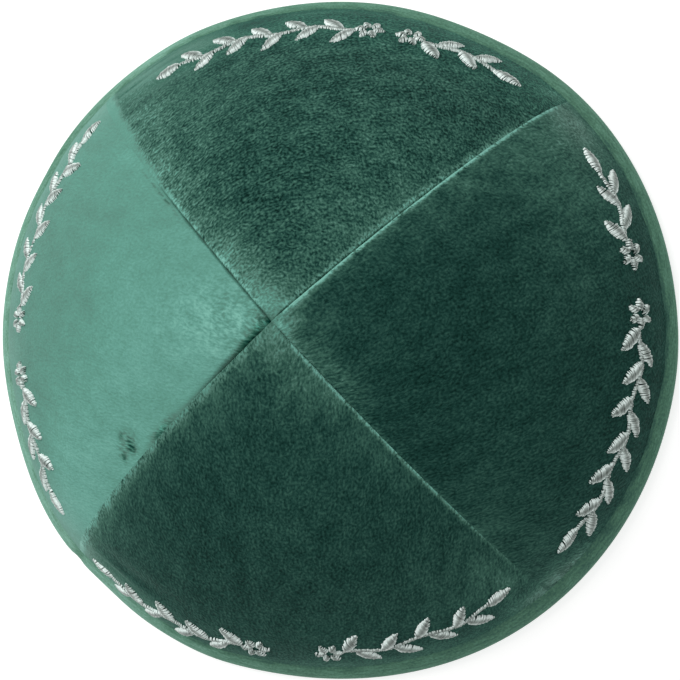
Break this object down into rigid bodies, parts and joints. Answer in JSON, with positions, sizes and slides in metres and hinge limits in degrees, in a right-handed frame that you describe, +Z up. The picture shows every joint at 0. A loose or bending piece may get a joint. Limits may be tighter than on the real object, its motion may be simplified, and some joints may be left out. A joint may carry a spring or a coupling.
{
  "type": "kippah skullcap",
  "caption": "Shallow domed velvet skullcap of sewn gores meeting at the peak, with a folded binding round the rim, open underneath for the head.",
  "frame": {"origin": "on the floor under the peak, at the middle of the bound rim", "axes": "+Z up to the peak, -Y towards the front gore, +X towards the right gore"},
  "size_m": [0.1734, 0.1706, 0.0491],
  "materials": {
    "gore_right_velvet": "cut pile, nap away from the light",
    "gore_back_velvet": "cut pile, nap across the light",
    "gore_left_velvet": "cut pile, nap towards the light",
    "gore_front_velvet": "cut pile, nap across the light",
    "rim_binding_velvet": "short smooth pile"
  },
  "bodies": {
    "root": {"gore_right": "gore_right_velvet", "gore_back": "gore_back_velvet", "gore_left": "gore_left_velvet", "gore_front": "gore_front_velvet", "rim_binding": "rim_binding_velvet"}
  },
  "joints": []
}
